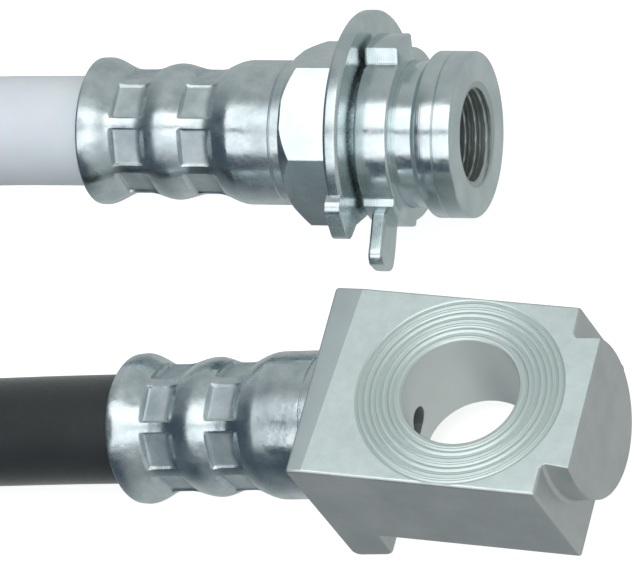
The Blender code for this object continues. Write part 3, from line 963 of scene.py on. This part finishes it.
@dataclass
class CrimpedFerrule:
    """Steel shell crimped on the hose by two rows of jaws."""

    name: str
    node: str
    at: EndFrame
    base: float
    length: float
    jaw_angle: float
    mouth_radius: float = 7.17 * MM
    radius: float = 7.0 * MM
    first_at: float = 4.85 * MM
    first_radius: float = 6.0 * MM
    first_flat: float = 5.58 * MM
    bulge_at: float = 8.4 * MM
    bulge_radius: float = 6.6 * MM
    second_at: float = 11.9 * MM
    second_radius: float = 6.06 * MM
    second_flat: float = 5.68 * MM
    shoulder_at: float = 16.0 * MM
    floor_half: float = 0.6 * MM
    lip: float = 0.7 * MM
    wall_radius: float = 5.34 * MM
    mouth_depth: float = 5.0 * MM
    stem_clearance_radius: float = 2.15 * MM
    score_at: float = 1.1 * MM
    jaw_count: int = 8
    ridge_half: float = math.radians(4.3)
    ridge_side: float = math.radians(1.8)
    mouth_reach: float = 1.3 * MM
    mouth_blend: float = 0.28 * MM
    inner_reach: float = 0.75 * MM
    inner_blend: float = 1.5 * MM
    station: float = 0.14 * MM
    wave_depth: float = 0.06 * MM
    wave_start: float = 0.2 * MM
    wave_rise: float = 1.0 * MM
    wave_fall: float = 2.0 * MM
    wall_margin: float = 0.05 * MM
    pad_limit: float = 0.7
    lip_round: float = 0.3 * MM
    mouth_wall: float = 0.95 * MM
    mouth_taper: float = 1.2 * MM
    base_edge: float = 0.15 * MM
    score_half: float = 0.12 * MM
    turn_steps: int = 240

    def band(self, place: float) -> float:
        """Find how fully the jaws have pressed the shell.

        Args:
            place: Distance from the mouth.

        Returns:
            1 under a row of jaws, and 0 clear of them.
        """
        weight = 0.0
        for middle in (self.first_at, self.second_at):
            offset = place - middle
            if offset < 0.0:
                share = (-offset - self.mouth_reach) / self.mouth_blend
            else:
                share = (offset - self.inner_reach) / self.inner_blend
            weight = max(weight, 1.0 - ease(share))
        return weight

    def from_ridge(self, angle: float) -> float:
        """Return the angle to the nearest ridge between two jaws."""
        pitch = math.tau / self.jaw_count
        return abs((angle - self.jaw_angle + 0.5 * pitch) % pitch - 0.5 * pitch)

    def sweep(self, place: float) -> float:
        """Find the smooth outer radius.

        Args:
            place: Distance from the mouth.

        Returns:
            The radius before the jaws' flats.
        """
        marks = ((self.lip, self.mouth_radius), (self.first_at - self.floor_half, self.first_radius),
                 (self.first_at + self.floor_half, self.first_radius), (self.bulge_at, self.bulge_radius),
                 (self.second_at - self.floor_half, self.second_radius),
                 (self.second_at + self.floor_half, self.second_radius), (self.shoulder_at, self.radius))
        if place <= marks[0][0]:
            return marks[0][1]
        for (start, low), (end, high) in zip(marks, marks[1:]):
            if place <= end:
                return low + (high - low) * ease((place - start) / (end - start))
        return self.radius

    def shaped(self, x: float, radius: float, angle: float) -> float:
        """Shape the shell with flats under the jaws and ridges between them.

        Args:
            x: Place along the axis.
            radius: The smooth radius there.
            angle: Angle round the axis.

        Returns:
            The shaped radius.
        """
        if radius <= self.wall_radius + self.wall_margin:
            return radius
        place = x - (self.base - self.length)
        from_ridge = self.from_ridge(angle)
        fade = ease((place - self.wave_start) / self.wave_rise)
        fade *= ease((self.second_at - place) / self.wave_fall)
        radius += self.wave_depth * fade * math.cos(self.jaw_count * (angle - self.jaw_angle))
        pressed = self.band(place) * ease((from_ridge - self.ridge_half) / self.ridge_side)
        flat_radius = self.first_flat if place < self.bulge_at else self.second_flat
        flat = flat_radius / math.cos(math.pi / self.jaw_count - max(from_ridge, self.ridge_half))
        return radius + (min(flat, radius) - radius) * pressed

    def mark_pads(self, mesh: Mesh) -> None:
        """Give the jaws' pads the second material.

        Args:
            mesh: The shell's mesh.
        """
        mouth = self.base - self.length
        for face in mesh.polygons:
            x, y, z = face.center
            outside = math.hypot(y, z) > self.wall_radius
            on_pad = self.from_ridge(math.atan2(z, -y)) > self.ridge_half + self.ridge_side
            if outside and on_pad and self.band(x - mouth) > self.pad_limit:
                face.material_index = 1

    def build(self, finish: Material, pad_finish: Material) -> bpy.types.Object:
        """Build and dress the shell.

        Args:
            finish: Material of the shell.
            pad_finish: Material of the jaws' pads.

        Returns:
            The shell.
        """
        mouth = self.base - self.length
        count = math.ceil((self.shoulder_at - self.lip) / self.station)
        places = [self.lip + (self.shoulder_at - self.lip) * step / count for step in range(count + 1)]
        middle = (self.lip_round, self.mouth_radius - self.lip_round)
        lip = arc(middle, self.lip_round, 180.0, 90.0, LIP_STEPS)
        profile = [(mouth + x, radius) for x, radius in lip]
        profile += [(mouth + place, self.sweep(place)) for place in places]
        edge, score = self.base_edge, self.score_half
        profile += [(self.base - self.score_at - score, self.radius),
                    (self.base - self.score_at, self.radius - score),
                    (self.base - self.score_at + score, self.radius)]
        profile += [(self.base - edge, self.radius), (self.base, self.radius - edge),
                    (self.base, self.stem_clearance_radius),
                    (mouth + self.mouth_depth, self.stem_clearance_radius),
                    (mouth + self.mouth_depth, self.wall_radius),
                    (mouth + self.mouth_taper, self.wall_radius),
                    (mouth, self.mouth_radius - self.mouth_wall)]
        mesh = turned(self.name, profile, True, self.turn_steps, self.jaw_angle, self.shaped)
        shell = dressed(self.name, mesh, self.at, finish, "ferrule", self.node)
        mesh.materials.append(pad_finish)
        self.mark_pads(mesh)
        return shell


@dataclass
class FemaleBody:
    """Female end: collar, clip groove, neck, hexagon and threaded port with its flare seat."""

    collar_radius: float = 8.0 * MM
    collar_length: float = 3.6 * MM
    collar_chamfer: float = 0.7 * MM
    collar_edge: float = 0.25 * MM
    collar_break: float = 0.1 * MM
    line_at: float = 1.88 * MM
    line_half: float = 0.1 * MM
    line_depth: float = 0.16 * MM
    hex_edge: float = 0.12 * MM
    hex_edge_segments: int = 2
    hex_reach: float = 0.2 * MM
    neck_radius: float = 7.05 * MM
    hex_front: float = 11.75 * MM
    hex_length: float = 5.6 * MM
    across_flats: float = 15.875 * MM
    flat_angle: float = math.radians(9.5)
    chamfer_radius: float = 7.95 * MM
    chamfer_length: float = 1.6 * MM
    mouth_radius: float = 5.04 * MM
    mouth_depth: float = 0.08 * MM
    mouth_break: float = 0.06 * MM
    thread_major: float = 5.0 * MM
    thread_minor: float = 4.5 * MM
    thread_pitch: float = 25.4 / 24.0 * MM
    thread_end: float = 9.4 * MM
    port_depth: float = 10.2 * MM
    thread_steps: float = 14.0
    thread_margin: float = 0.01 * MM
    crest_width: float = 1.9
    run_in: float = 0.25 * MM
    run_in_start: float = 0.4
    seat_depth: float = 8.0 * MM
    seat_root: float = 3.6 * MM
    seat_tip: float = 1.8 * MM
    passage: float = 1.2 * MM
    turn_steps: int = FINE_STEPS

    def threaded(self, x: float, radius: float, angle: float) -> float:
        """Cut the thread into the port's wall.

        Args:
            x: Place along the axis.
            radius: The wall's radius there.
            angle: Angle round the axis.

        Returns:
            The radius with the thread.
        """
        inside = self.thread_minor - self.thread_margin < radius < self.mouth_radius
        if not inside or x > -self.mouth_depth or x < -self.thread_end:
            return radius
        turn = (-x / self.thread_pitch + angle / math.tau) % 1.0
        tooth = min(1.0, self.crest_width * (1.0 - abs(2.0 * turn - 1.0)))
        fade = ease((self.thread_end + x) / self.thread_pitch)
        fade *= ease((-x - self.mouth_depth) / self.run_in + self.run_in_start)
        return self.thread_major - (self.thread_major - self.thread_minor) * tooth * fade

    def core(self) -> Mesh:
        """Build the turned part with its thread."""
        back = -(self.hex_front + self.hex_length)
        edge, line = self.collar_edge, self.line_half
        profile = [
            (-self.collar_length - self.collar_chamfer, self.neck_radius),
            (-self.collar_length, self.collar_radius - 0.5 * self.collar_break),
            (-self.collar_length + self.collar_break, self.collar_radius),
            (-self.line_at - line, self.collar_radius),
            (-self.line_at, self.collar_radius - self.line_depth),
            (-self.line_at + line, self.collar_radius)]
        profile += arc((-edge, self.collar_radius - edge), edge, 90.0, 0.0, EDGE_STEPS)
        profile += [(0.0, self.mouth_radius + self.mouth_break), (-self.mouth_break, self.mouth_radius),
                    (-self.mouth_depth, self.thread_major)]
        run = self.thread_end - self.mouth_depth
        count = math.ceil(run / (self.thread_pitch / self.thread_steps))
        profile += [(-self.mouth_depth - run * step / count, self.thread_major)
                    for step in range(1, count + 1)]
        profile += [(-self.port_depth, self.thread_major), (-self.port_depth, self.seat_root),
                    (-self.seat_depth, self.seat_tip), (-self.seat_depth, self.passage),
                    (back, self.passage), (back, self.neck_radius)]
        return turned("female_core", profile, True, self.turn_steps, self.flat_angle, self.threaded)

    def hexagon(self) -> Mesh:
        """Build the hexagon with its turned chamfer on the hose side."""
        back = -(self.hex_front + self.hex_length)
        sides = 6
        half_side = math.pi / sides
        corner = 0.5 * self.across_flats / math.cos(half_side)
        front = [polar(-self.hex_front, corner, self.flat_angle + half_side + math.tau * side / sides)
                 for side in range(sides)]
        prism = extruded("hex_prism", front, Vector((-self.hex_length, 0.0, 0.0)))
        clear = self.hex_reach
        reach = corner + clear
        slope = (reach - self.chamfer_radius) / self.chamfer_length
        blank = [(back - clear, self.chamfer_radius - clear * slope), (back + self.chamfer_length, reach),
                 (-self.hex_front + clear, reach)]
        return combined(bevelled(prism, self.hex_edge, self.hex_edge_segments), [
            (Join.TRIM, turned("hex_blank", blank, False, self.turn_steps))])

    def build(self, finish: Material) -> bpy.types.Object:
        """Build and dress the body.

        Args:
            finish: Its material.

        Returns:
            The body.
        """
        back = -(self.hex_front + self.hex_length)
        middle = 0.5 * (self.passage + self.neck_radius)
        bore = [(back - self.hex_length, middle), (-self.hex_front + self.collar_length, middle)]
        ring = combined(self.hexagon(), [(Join.CUT, turned("hex_hole", bore, False, self.turn_steps))])
        mesh = combined(self.core(), [(Join.ADD, ring)])
        return dressed("female_body_detail", mesh, FEMALE_FRAME, finish, "female_end", "female_end_body")


@dataclass
class TabRing:
    """Ring on the neck with two lugs with sloping flanks and one bent long tab."""

    front: float = 6.25 * MM
    back: float = 9.62 * MM
    hole: float = 7.06 * MM
    radius: float = 8.35 * MM
    edge: float = 0.3 * MM
    near_radius: float = 8.9 * MM
    near_angles: tuple[float, float] = (-37.0, 5.0)
    far_radius: float = 9.75 * MM
    far_angles: tuple[float, float] = (113.0, 137.0)
    flank: float = 4.5
    steep: float = 1.5
    tab_thickness: float = 1.45 * MM
    tab_half_width: float = 1.9 * MM
    tab_root_half: float = 1.8 * MM
    tab_set_back: float = 0.95 * MM
    tab_length: float = 6.0 * MM
    tab_root: float = 7.6 * MM
    tab_angle: float = math.radians(-14.0)
    tab_corner: float = 1.1 * MM
    tab_bend: float = -0.15 * MM
    tab_bend_share: float = 0.85
    tab_spread_share: float = 0.62
    tab_inset: float = 0.22 * MM
    tab_steps: int = 14
    tip_angles: tuple[float, ...] = (15.0, 30.0, 45.0, 60.0, 75.0, 84.0)
    hole_overlap: float = 0.01 * MM
    turn_steps: int = 360

    def outline(self, angle: float) -> float:
        """Find the ring's outer radius, lugs included.

        Args:
            angle: Angle round the axis.

        Returns:
            The radius there.
        """
        degrees = math.degrees(angle) % 360.0
        radius = self.radius
        for height, (low, high), low_flank, high_flank in (
                (self.near_radius, self.near_angles, self.steep, self.flank),
                (self.far_radius, self.far_angles, self.flank, self.steep)):
            middle = 0.5 * (low + high)
            offset = (degrees - middle + 180.0) % 360.0 - 180.0
            half = 0.5 * (high - low)
            outside = (offset - half) / high_flank if offset > 0.0 else (-offset - half) / low_flank
            share = 1.0 - min(max(outside, 0.0), 1.0)
            radius = max(radius, self.radius + (height - self.radius) * share)
        return radius

    def shaped(self, x: float, radius: float, angle: float) -> float:
        """Swell the ring's outside to its outline.

        Args:
            x: Place along the axis.
            radius: The plain ring's radius there.
            angle: Angle round the axis.

        Returns:
            The radius with the lugs.
        """
        if radius <= self.hole:
            return radius
        return radius - self.radius + self.outline(angle)

    def tab(self) -> Mesh:
        """Build the long tab, bent a little away from the hose."""
        root = polar(-self.front - self.edge - self.tab_set_back, self.tab_root, self.tab_angle)
        out = polar(0.0, 1.0, self.tab_angle)
        side = polar(0.0, 1.0, self.tab_angle + 0.5 * math.pi)
        straight = self.tab_length - self.tab_corner
        places = [straight * step / self.tab_steps for step in range(self.tab_steps + 1)]
        places += [self.tab_length - self.tab_corner * (1.0 - math.sin(math.radians(angle)))
                   for angle in self.tip_angles]
        inset, thick = self.tab_inset, self.tab_thickness
        rings = []
        for place in places:
            past = max(0.0, place - self.tab_length + self.tab_corner) / self.tab_corner
            spread = min(place / (self.tab_spread_share * self.tab_length), 1.0)
            half = self.tab_root_half + (self.tab_half_width - self.tab_root_half) * spread
            half -= self.tab_corner * (1.0 - math.sqrt(1.0 - past * past))
            bend = self.tab_bend * ease(place / (self.tab_bend_share * self.tab_length))
            middle = root + out * place - Vector((bend, 0.0, 0.0))
            upper = [(half - inset, 0.0), (half, inset), (half, thick - inset), (half - inset, thick)]
            lower = [(-across, depth) for across, depth in reversed(upper)]
            rings.append([middle + side * across - Vector((depth, 0.0, 0.0))
                          for across, depth in upper + lower])
        return loft("long_tab", rings, False)

    def build(self, finish: Material) -> bpy.types.Object:
        """Build and dress the ring.

        Args:
            finish: Its material.

        Returns:
            The ring.
        """
        profile = [(-self.front, self.hole)]
        middle = self.radius - self.edge
        profile += arc((-self.front - self.edge, middle), self.edge, 0.0, 90.0, EDGE_STEPS)
        profile += arc((-self.back + self.edge, middle), self.edge, 90.0, 180.0, EDGE_STEPS)
        profile.append((-self.back, self.hole))
        ring = turned("tab_ring", profile, True, self.turn_steps, 0.0, self.shaped)
        bore = self.hole - self.hole_overlap
        hole = [(-self.back - self.edge, bore), (-self.front + self.edge, bore)]
        mesh = combined(ring, [
            (Join.ADD, self.tab()),
            (Join.CUT, turned("ring_hole", hole, False, self.turn_steps))])
        return dressed("tab_ring_detail", mesh, FEMALE_FRAME, finish, "female_end", "tab_ring")


@dataclass
class LocatingPlate:
    """Round sheet plate with a chord cut off and one small tab."""

    front: float = 9.95 * MM
    thickness: float = 1.5 * MM
    radius: float = 11.9 * MM
    hole: float = 7.06 * MM
    chord_angles: tuple[float, float] = (6.0, -106.2)
    tab_angle: float = math.radians(14.5)
    tab_half_width: float = 2.45 * MM
    tab_radius: float = 13.1 * MM
    tab_root: float = 10.0 * MM
    tab_corner: float = 1.3 * MM
    round: float = 0.42 * MM
    edge: float = 0.2 * MM
    turn_steps: int = FINE_STEPS

    def build(self, finish: Material) -> bpy.types.Object:
        """Build and dress the plate.

        Args:
            finish: Its material.

        Returns:
            The plate.
        """
        back = -(self.front + self.thickness)
        middle = self.radius - self.round
        rim = arc((-self.front - self.round, middle), self.round, 0.0, 90.0, LIP_STEPS)
        rim += arc((back + self.round, middle), self.round, 90.0, 180.0, LIP_STEPS)
        disc = turned("disc", rim, False, self.turn_steps)
        first, last = (math.radians(angle) for angle in self.chord_angles)
        start, end = polar(back, self.radius, first), polar(back, self.radius, last)
        along = (end - start).normalized() * self.edge
        outward = polar(0.0, self.radius, 0.5 * (first + last))
        shift = Vector((-self.thickness, 0.0, 0.0))
        outline = [start - along, end + along, end + along + outward, start - along + outward]
        chord = extruded("chord", [point + shift for point in outline], -3.0 * shift)
        root = polar(back, self.tab_root, self.tab_angle)
        out = polar(0.0, 1.0, self.tab_angle)
        side = polar(0.0, 1.0, self.tab_angle + 0.5 * math.pi)
        tip = self.tab_radius - self.tab_root - self.tab_corner
        reach = self.tab_half_width - self.tab_corner
        flat = [(0.0, -self.tab_half_width)] + arc((tip, -reach), self.tab_corner, -90.0, 0.0, LIP_STEPS)
        flat += arc((tip, reach), self.tab_corner, 0.0, 90.0, LIP_STEPS) + [(0.0, self.tab_half_width)]
        tab = extruded("plate_tab", [root + out * u + side * v for u, v in flat],
                       Vector((self.thickness, 0.0, 0.0)))
        hole = turned("plate_hole", [(back - self.edge, self.hole), (-self.front + self.edge, self.hole)],
                      False, self.turn_steps)
        mesh = combined(disc, [(Join.CUT, chord), (Join.ADD, tab), (Join.CUT, hole)])
        mesh = bevelled(mesh, self.edge, EDGE_SEGMENTS)
        return dressed("locating_plate_detail", mesh, FEMALE_FRAME, finish,
                       "locating_plate", "locating_plate")


@dataclass
class HoseLine:
    """The hose from ferrule to ferrule, with the sleeve over its end at the female end."""

    radius: float = 5.25 * MM
    sleeve_radius: float = 5.38 * MM
    sleeve_length: float = 70.0 * MM
    length: float = 400.0 * MM
    inside: float = 3.0 * MM
    above_floor: float = 0.01 * MM
    sides: int = 64
    spacing: float = 2.0 * MM
    overlap: int = 4
    route: tuple[Triple, ...] = (
        (-40.5, 12.8, 16.4), (-52.0, 12.4, 16.4), (-64.0, 12.7, 14.6), (-76.0, 15.4, 11.9),
        (-87.0, 21.0, 9.1), (-97.0, 30.0, 7.0), (-108.0, 40.0, 5.7), (-123.0, 46.8, 5.25),
        (-142.0, 47.7, 5.25), (-161.0, 40.2, 5.25), (-175.0, 26.0, 5.25), (-182.5, 8.0, 5.25),
        (-182.0, -14.0, 5.25), (-172.5, -33.0, 5.25), (-156.0, -46.4, 5.25), (-136.0, -51.2, 5.25),
        (-116.0, -48.2, 5.25), (-98.5, -37.0, 5.25), (-84.0, -25.0, 5.25), (-67.0, -17.8, 5.4),
        (-48.0, -16.15, 6.2), (-32.0, -16.07, 6.92))

    def line(self, female_mouth: float, block_mouth: float) -> list[Vector]:
        """Return evenly spaced points of the hose's centreline.

        Args:
            female_mouth: The mouth's place on the female end's axis.
            block_mouth: The mouth's place on the block end's axis.

        Returns:
            Points from inside the female ferrule round to inside the block's.
        """
        female, block = FEMALE_FRAME.matrix(), BLOCK_FRAME.matrix()
        start = [female @ Vector((female_mouth + self.inside, 0.0, 0.0)),
                 female @ Vector((female_mouth, 0.0, 0.0))]
        end = [block @ Vector((block_mouth, 0.0, 0.0)),
               block @ Vector((block_mouth + self.inside, 0.0, 0.0))]
        points = start + [Vector(point) * MM for point in self.route] + end
        line = evenly_spaced(smooth_curve(points), self.spacing)
        for point in line:
            point.z = max(point.z, self.radius + self.above_floor)
        return line

    def tube(self, name: str, line: Sequence[Vector], radius: float) -> Mesh:
        """Sweep a round section along a centreline without twist.

        Args:
            name: Name of the mesh.
            line: Points of the centreline.
            radius: Radius of the section.

        Returns:
            The closed tube.
        """
        rings = []
        direction = (line[1] - line[0]).normalized()
        side = direction.orthogonal().normalized()
        for index, point in enumerate(line):
            after = line[min(index + 1, len(line) - 1)]
            before = line[max(index - 1, 0)]
            fresh = (after - before).normalized()
            side.rotate(direction.rotation_difference(fresh))
            direction = fresh
            up = direction.cross(side)
            rings.append([point + (side * math.cos(math.tau * step / self.sides)
                                   + up * math.sin(math.tau * step / self.sides)) * radius
                          for step in range(self.sides)])
        return loft(name, rings, False)

    def place(self, name: str, line: Sequence[Vector], radius: float, finish: Material,
              slot: str, node: str) -> bpy.types.Object:
        """Sweep one tube and set it on the root body."""
        tube = self.tube(name, line, radius)
        return dressed(name, tube, EndFrame((0.0, 0.0, 0.0), 0.0, 0.0), finish, slot, node)

    def build(self, rubber: Material, plastic: Material,
              female_mouth: float, block_mouth: float) -> None:
        """Args:
            rubber: Material of the hose.
            plastic: Material of the sleeve.
            female_mouth: The mouth's place on the female end's axis.
            block_mouth: The mouth's place on the block end's axis.
        """
        line = self.line(female_mouth, block_mouth)
        count = round((self.sleeve_length + self.inside) / self.spacing)
        white, black = line[:count], line[count - self.overlap:]
        sleeve = self.place("hose_sleeve_detail", white, self.sleeve_radius, plastic,
                            "sleeve", "hose_sleeve")
        hose = self.place("brake_hose_detail", black, self.radius, rubber, "hose", "brake_hose")
        travelled = sum((after - before).length for before, after in zip(line, line[1:]))
        LOG.info("hose centreline: %.1f mm", travelled / MM)


def smooth_curve(points: Sequence[Vector]) -> list[Vector]:
    """Run a Catmull-Rom curve through points.

    Args:
        points: The points that it passes.

    Returns:
        Closely spaced points of the curve.
    """
    padded = [points[0] * 2.0 - points[1], *points, points[-1] * 2.0 - points[-2]]
    curve = []
    for before, start, end, after in zip(padded, padded[1:], padded[2:], padded[3:]):
        for step in range(CURVE_STEPS):
            t = step / CURVE_STEPS
            curve.append(0.5 * (2.0 * start + (end - before) * t
                                + (2.0 * before - 5.0 * start + 4.0 * end - after) * t ** 2
                                + (3.0 * (start - end) + after - before) * t ** 3))
    curve.append(points[-1].copy())
    return curve


def evenly_spaced(curve: Sequence[Vector], spacing: float) -> list[Vector]:
    """Space points evenly along a polyline.

    Args:
        curve: Points of the polyline.
        spacing: Rough distance from point to point.

    Returns:
        The points, both ends included.
    """
    lengths = [0.0]
    for start, end in zip(curve, curve[1:]):
        lengths.append(lengths[-1] + (end - start).length)
    count = round(lengths[-1] / spacing)
    points = []
    index = 0
    for step in range(count + 1):
        place = lengths[-1] * step / count
        while index < len(curve) - 2 and lengths[index + 1] < place:
            index += 1
        share = (place - lengths[index]) / (lengths[index + 1] - lengths[index])
        points.append(curve[index].lerp(curve[index + 1], min(share, 1.0)))
    return points


@dataclass(frozen=True)
class Softbox:
    """One long studio light, hung along the x axis and aimed at it."""

    name: str
    angle: float
    power: float
    height: float
    distance: float = 0.8
    width: float = 1.08
    shift: float = 0.06

    def build(self) -> None:
        """Hang the light."""
        data = bpy.data.lights.new(self.name, "AREA")
        data.shape = "RECTANGLE"
        data.size = self.width
        data.size_y = self.height
        data.energy = self.power
        light = placed(self.name, data)
        turn = math.radians(self.angle)
        back = Vector((0.0, -math.cos(turn), math.sin(turn)))
        across = Vector((1.0, 0.0, 0.0))
        axes = Matrix((across, back.cross(across), back)).transposed().to_4x4()
        light.matrix_world = Matrix.Translation(back * self.distance + across * self.shift) @ axes


@dataclass
class Studio:
    """Floor, lights, surroundings and the camera."""

    camera_place: Triple = (265.98 * MM, -276.20 * MM, 432.58 * MM)
    camera_right: Triple = (0.88225, 0.23543, -0.40768)
    camera_up: Triple = (0.02132, 0.84510, 0.53418)
    focal_length: float = 337.6
    sensor_width: float = 36.0
    nearest: float = 0.02
    farthest: float = 20.0
    floor_radius: float = 1.4
    floor_sides: int = 96
    floor_tone: float = 0.86
    floor_glow: float = 0.72
    floor_rough: float = 0.9
    floor_specular: float = 0.1
    dark_side: Triple = (-0.72, -0.62, 0.30)
    pale_room: Triple = (0.50, 0.53, 0.53)
    dark_room: Triple = (0.075, 0.10, 0.125)
    room_blend: tuple[float, float] = (0.1, 0.8)

    def camera(self) -> None:
        """Set the camera where the photograph was taken from."""
        data = bpy.data.cameras.new("camera")
        data.lens = self.focal_length
        data.sensor_width = self.sensor_width
        data.clip_start = self.nearest
        data.clip_end = self.farthest
        camera = placed("camera", data)
        right = Vector(self.camera_right).normalized()
        up = Vector(self.camera_up)
        up = (up - right * up.dot(right)).normalized()
        back = right.cross(up)
        turn = Matrix((right, up, back)).transposed().to_4x4()
        camera.matrix_world = Matrix.Translation(Vector(self.camera_place)) @ turn
        bpy.context.scene.camera = camera

    def floor(self) -> None:
        """Lay the plain pale floor."""
        bm = bmesh.new()
        bmesh.ops.create_circle(bm, cap_ends=True, segments=self.floor_sides, radius=self.floor_radius)
        mesh = bpy.data.meshes.new("floor")
        bm.to_mesh(mesh)
        bm.free()
        board = NodeBoard("pale_floor")
        board.set(Roughness=self.floor_rough, Specular_IOR_Level=self.floor_specular,
                  Base_Color=(self.floor_tone, self.floor_tone, self.floor_tone, 1.0),
                  Emission_Color=(1.0, 1.0, 1.0, 1.0), Emission_Strength=self.floor_glow)
        mesh.materials.append(board.material)
        floor = placed("floor", mesh)
        floor.visible_glossy = False
        floor.visible_diffuse = False

    def lights(self) -> None:
        """Hang two long softboxes side by side with a thin gap between them."""
        Softbox("front_softbox", angle=42.0, power=2.15, height=0.46).build()
        Softbox("top_softbox", angle=80.5, power=2.35, height=0.48).build()

    def surroundings(self) -> None:
        """Give the room a pale far side and a dark side where the viewer stands."""
        world = bpy.data.worlds.new("studio_room")
        world.use_nodes = True
        tree = world.node_tree
        tree.nodes.clear()
        coordinates = tree.nodes.new("ShaderNodeTexCoord")
        toward = tree.nodes.new("ShaderNodeVectorMath")
        toward.operation = "DOT_PRODUCT"
        toward.inputs[1].default_value = self.dark_side
        ramp = tree.nodes.new("ShaderNodeValToRGB")
        background = tree.nodes.new("ShaderNodeBackground")
        output = tree.nodes.new("ShaderNodeOutputWorld")
        tree.links.new(coordinates.outputs["Generated"], toward.inputs[0])
        tree.links.new(toward.outputs["Value"], ramp.inputs["Fac"])
        tree.links.new(ramp.outputs["Color"], background.inputs["Color"])
        tree.links.new(background.outputs["Background"], output.inputs["Surface"])
        first, last = ramp.color_ramp.elements
        first.position, last.position = self.room_blend
        first.color, last.color = (*self.pale_room, 1.0), (*self.dark_room, 1.0)
        bpy.context.scene.world = world
        bpy.context.scene.view_settings.view_transform = "Standard"

    def build(self) -> None:
        """Set up the whole studio."""
        self.camera()
        self.floor()
        self.lights()
        self.surroundings()


def main() -> None:
    """Build the studio, the hose and the two metal ends."""
    logging.basicConfig(level=logging.INFO, format="%(name)s: %(message)s")
    Studio().build()

    block_base, block_length = -13.51 * MM, 21.99 * MM
    female_base, female_length = -17.65 * MM, 21.1 * MM
    HoseLine().build(RubberFinish().material(), SleeveFinish().material(),
                     female_base - female_length, block_base - block_length)

    zinc, crimped = ZincFinish().material(), CrimpedFinish().material()
    pads = CrimpedFinish("jaw_pressed_zinc", smooth=0.40, rough=0.52).material()
    BanjoBlock().build(TumbledFinish().material())
    CrimpedFerrule("block_ferrule_detail", "block_end_ferrule", BLOCK_FRAME, block_base, block_length,
                   jaw_angle=math.radians(14.0), bulge_at=8.75 * MM).build(crimped, pads)
    FemaleBody().build(zinc)
    TabRing().build(zinc)
    LocatingPlate().build(ZincFinish("sheet_zinc", smooth=0.20, rough=0.31).material())
    CrimpedFerrule("female_ferrule_detail", "female_end_ferrule", FEMALE_FRAME, female_base, female_length,
                   jaw_angle=math.radians(18.6)).build(crimped, pads)

    steel = StemFinish().material()
    for name in ("block_end_stem", "female_end_stem"):
        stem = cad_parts[name]
        stem.data.materials.clear()
        stem.data.materials.append(steel)
        LOG.info("%s: kept from the solids", name)


if __name__ == "__main__":
    main()
